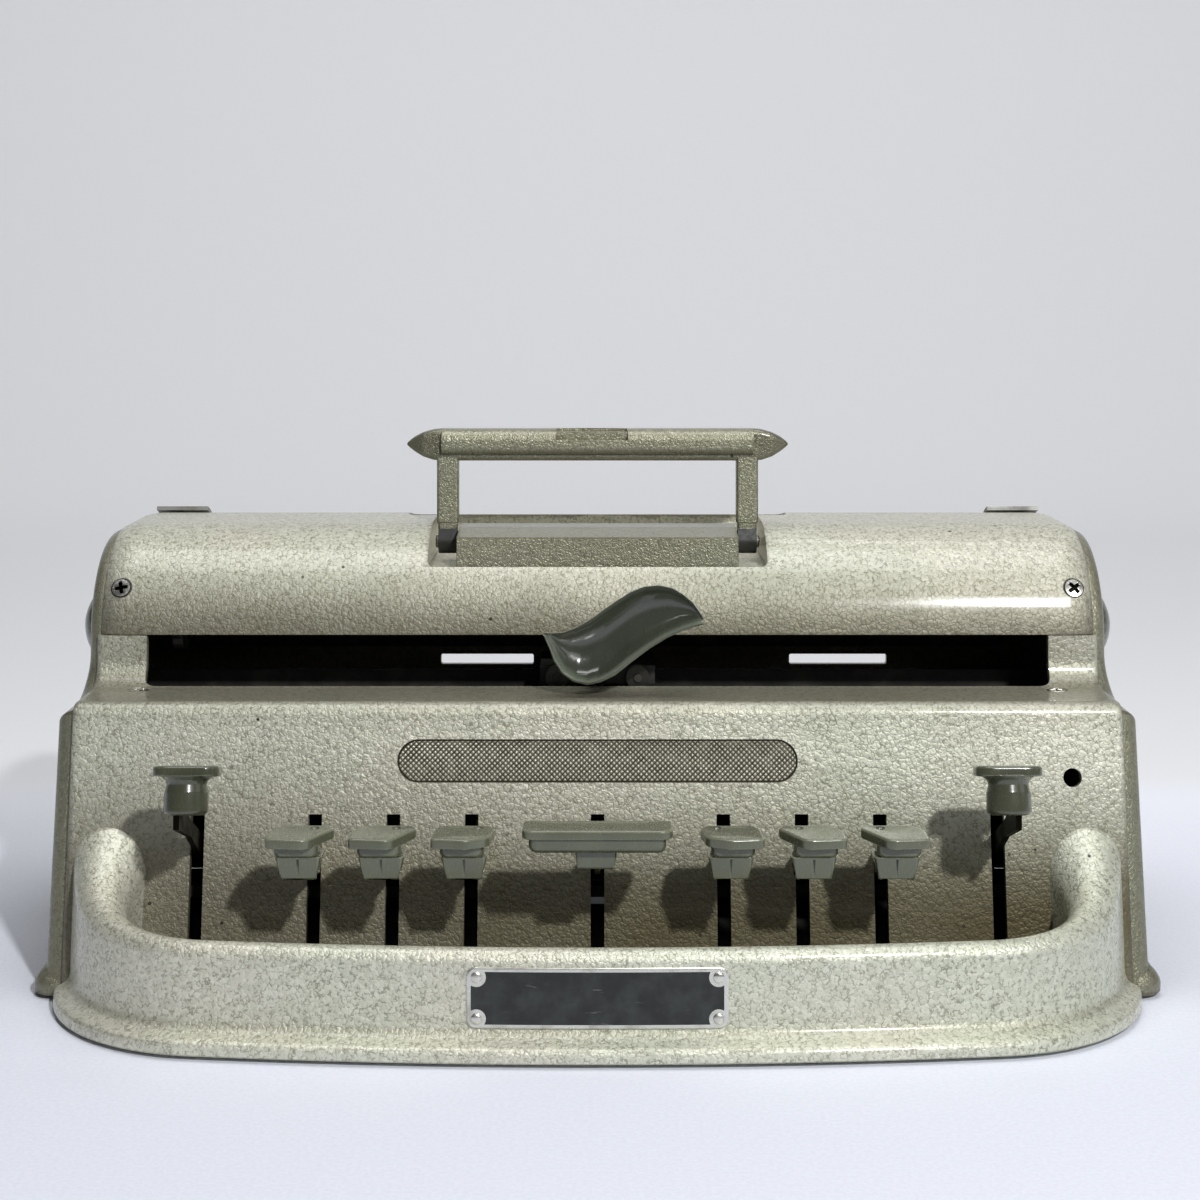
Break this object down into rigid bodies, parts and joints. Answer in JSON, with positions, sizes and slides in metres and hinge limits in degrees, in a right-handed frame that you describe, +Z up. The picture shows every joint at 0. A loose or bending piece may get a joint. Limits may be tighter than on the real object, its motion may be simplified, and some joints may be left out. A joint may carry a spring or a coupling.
{
  "type": "manual braille writer",
  "caption": "Manual braille writer: hammertone case on a D-shaped palm rest, dot, space and end keys, embossing carriage behind a paper slot, feed roller with knobs, fold-down handle.",
  "frame": {"origin": "on the table under the middle of the bounding box", "axes": "+X to the user's right along the case, +Y from the palm rest to the back, +Z up"},
  "size_m": [0.408, 0.229, 0.194],
  "materials": {
    "hammer_paint": "grey-beige hammertone, semi-gloss, worn at the edges",
    "pan_paint": "black, satin",
    "rubber": "matt",
    "plate": "black enamel with a bare border",
    "steel": "machined, slightly dull",
    "roller_rubber": "matt",
    "black_plastic": "black, semi-gloss",
    "bush_brass": "turned",
    "black_casting": "black, matt",
    "lever_plastic": "dark grey-green, glossy",
    "wheel_plastic": "dark grey",
    "zinc_steel": "yellow zinc plated",
    "key_plastic": "grey with a green cast, semi-gloss"
  },
  "bodies": {
    "case": {"front_cowl": "hammer_paint", "bottom_pan": "pan_paint", "left_side_plate": "hammer_paint", "right_side_plate": "hammer_paint", "front_panel": "hammer_paint", "top_cover": "hammer_paint", "rear_panel": "hammer_paint", "rubber_feet": "rubber", "data_plate": "plate", "plate_rivets": "steel", "case_screws": "steel", "handle_bracket": "hammer_paint", "shaft_bushes": "bush_brass", "front_rail": "steel", "rear_rail": "steel", "head_rail": "steel", "escapement_rack": "steel", "paper_guide": "black_casting", "margin_rod": "steel", "key_shaft": "steel", "shaft_brackets": "black_casting", "stop_bar": "steel", "key_springs": "steel"},
    "handle": {"handle_grip": "hammer_paint", "handle_legs": "hammer_paint"},
    "feed": {"feed_shaft": "steel", "feed_roller": "roller_rubber", "left_feed_knob": "black_plastic", "right_feed_knob": "black_plastic", "line_ratchet": "steel"},
    "pressure": {"pressure_rollers": "steel"},
    "left_release": {"left_release_lever": "steel"},
    "right_release": {"right_release_lever": "steel"},
    "carriage": {"embossing_head": "black_casting", "pin_block": "steel", "embossing_pins": "steel"},
    "advance_lever": {"carriage_lever": "lever_plastic"},
    "wheel_left": {"left_wheel": "wheel_plastic"},
    "wheel_right": {"right_wheel": "wheel_plastic"},
    "drum": {"spring_drum": "steel"},
    "stop_left": {"left_margin_stop": "black_plastic"},
    "stop_right": {"right_margin_stop": "black_plastic"},
    "key_line": {"line_lever": "zinc_steel", "line_cap": "key_plastic"},
    "key_dot_3": {"dot_3_lever": "zinc_steel", "dot_3_cap": "key_plastic"},
    "key_dot_2": {"dot_2_lever": "zinc_steel", "dot_2_cap": "key_plastic"},
    "key_dot_1": {"dot_1_lever": "zinc_steel", "dot_1_cap": "key_plastic"},
    "key_space": {"space_lever": "zinc_steel", "space_cap": "key_plastic"},
    "key_dot_4": {"dot_4_lever": "zinc_steel", "dot_4_cap": "key_plastic"},
    "key_dot_5": {"dot_5_lever": "zinc_steel", "dot_5_cap": "key_plastic"},
    "key_dot_6": {"dot_6_lever": "zinc_steel", "dot_6_cap": "key_plastic"},
    "key_backspace": {"backspace_lever": "zinc_steel", "backspace_cap": "key_plastic"}
  },
  "joints": [
    {"name": "handle_fold", "type": "hinge", "parent": "case", "child": "handle", "pos_m": [0, 0.03794, 0.15], "axis": [1, 0, 0], "range_deg": [-90, 0]},
    {"name": "feed_turn", "type": "hinge", "parent": "case", "child": "feed", "pos_m": [0, 0.05644, 0.115], "axis": [1, 0, 0], "continuous": true},
    {"name": "pressure_turn", "type": "hinge", "parent": "case", "child": "pressure", "pos_m": [0, 0.05644, 0.1285], "axis": [1, 0, 0], "continuous": true},
    {"name": "left_paper_release", "type": "hinge", "parent": "case", "child": "left_release", "pos_m": [-0.1735, 0.075, 0.122], "axis": [1, 0, 0], "range_deg": [0, 22]},
    {"name": "right_paper_release", "type": "hinge", "parent": "case", "child": "right_release", "pos_m": [0.1735, 0.075, 0.122], "axis": [1, 0, 0], "range_deg": [0, 22]},
    {"name": "carriage_slide", "type": "slide", "parent": "case", "child": "carriage", "axis": [1, 0, 0], "range_m": [-0.13, 0.13]},
    {"name": "advance_press", "type": "hinge", "parent": "carriage", "child": "advance_lever", "pos_m": [0, -0.012, 0.1145], "axis": [0, 1, 0], "range_deg": [0, 12], "stiffness_Nm_per_rad": 0.05, "springref_deg": -8.59},
    {"name": "left_wheel_turn", "type": "hinge", "parent": "carriage", "child": "wheel_left", "pos_m": [-0.015, 0.0015, 0.104], "axis": [0, 1, 0], "continuous": true},
    {"name": "right_wheel_turn", "type": "hinge", "parent": "carriage", "child": "wheel_right", "pos_m": [0.015, 0.0015, 0.104], "axis": [0, 1, 0], "continuous": true},
    {"name": "drum_turn", "type": "hinge", "parent": "case", "child": "drum", "pos_m": [0.15, 0.09, 0.062], "axis": [0, 1, 0], "range_deg": [-345, 345]},
    {"name": "left_margin_slide", "type": "slide", "parent": "case", "child": "stop_left", "axis": [1, 0, 0], "range_m": [0, 0.09]},
    {"name": "right_margin_slide", "type": "slide", "parent": "case", "child": "stop_right", "axis": [1, 0, 0], "range_m": [-0.09, 0]},
    {"name": "line_press", "type": "hinge", "parent": "case", "child": "key_line", "pos_m": [-0.141, -0.012, 0.044], "axis": [1, 0, 0], "range_deg": [0, 8], "stiffness_Nm_per_rad": 0.4, "springref_deg": -20.05},
    {"name": "dot_3_press", "type": "hinge", "parent": "case", "child": "key_dot_3", "pos_m": [-0.0996, -0.012, 0.044], "axis": [1, 0, 0], "range_deg": [0, 8], "stiffness_Nm_per_rad": 0.4, "springref_deg": -20.05},
    {"name": "dot_2_press", "type": "hinge", "parent": "case", "child": "key_dot_2", "pos_m": [-0.072, -0.012, 0.044], "axis": [1, 0, 0], "range_deg": [0, 8], "stiffness_Nm_per_rad": 0.4, "springref_deg": -20.05},
    {"name": "dot_1_press", "type": "hinge", "parent": "case", "child": "key_dot_1", "pos_m": [-0.0444, -0.012, 0.044], "axis": [1, 0, 0], "range_deg": [0, 8], "stiffness_Nm_per_rad": 0.4, "springref_deg": -20.05},
    {"name": "space_press", "type": "hinge", "parent": "case", "child": "key_space", "pos_m": [0, -0.012, 0.044], "axis": [1, 0, 0], "range_deg": [0, 8], "stiffness_Nm_per_rad": 0.4, "springref_deg": -20.05},
    {"name": "dot_4_press", "type": "hinge", "parent": "case", "child": "key_dot_4", "pos_m": [0.0444, -0.012, 0.044], "axis": [1, 0, 0], "range_deg": [0, 8], "stiffness_Nm_per_rad": 0.4, "springref_deg": -20.05},
    {"name": "dot_5_press", "type": "hinge", "parent": "case", "child": "key_dot_5", "pos_m": [0.072, -0.012, 0.044], "axis": [1, 0, 0], "range_deg": [0, 8], "stiffness_Nm_per_rad": 0.4, "springref_deg": -20.05},
    {"name": "dot_6_press", "type": "hinge", "parent": "case", "child": "key_dot_6", "pos_m": [0.0996, -0.012, 0.044], "axis": [1, 0, 0], "range_deg": [0, 8], "stiffness_Nm_per_rad": 0.4, "springref_deg": -20.05},
    {"name": "backspace_press", "type": "hinge", "parent": "case", "child": "key_backspace", "pos_m": [0.141, -0.012, 0.044], "axis": [1, 0, 0], "range_deg": [0, 8], "stiffness_Nm_per_rad": 0.4, "springref_deg": -20.05}
  ],
  "couplings": [
    {"joint": "pressure_turn", "follows": "feed_turn", "ratio": -2.1429},
    {"joint": "drum_turn", "follows": "carriage_slide", "rad_per_m": 45.455},
    {"joint": "left_wheel_turn", "follows": "carriage_slide", "rad_per_m": 232.56},
    {"joint": "right_wheel_turn", "follows": "carriage_slide", "rad_per_m": 232.56}
  ]
}
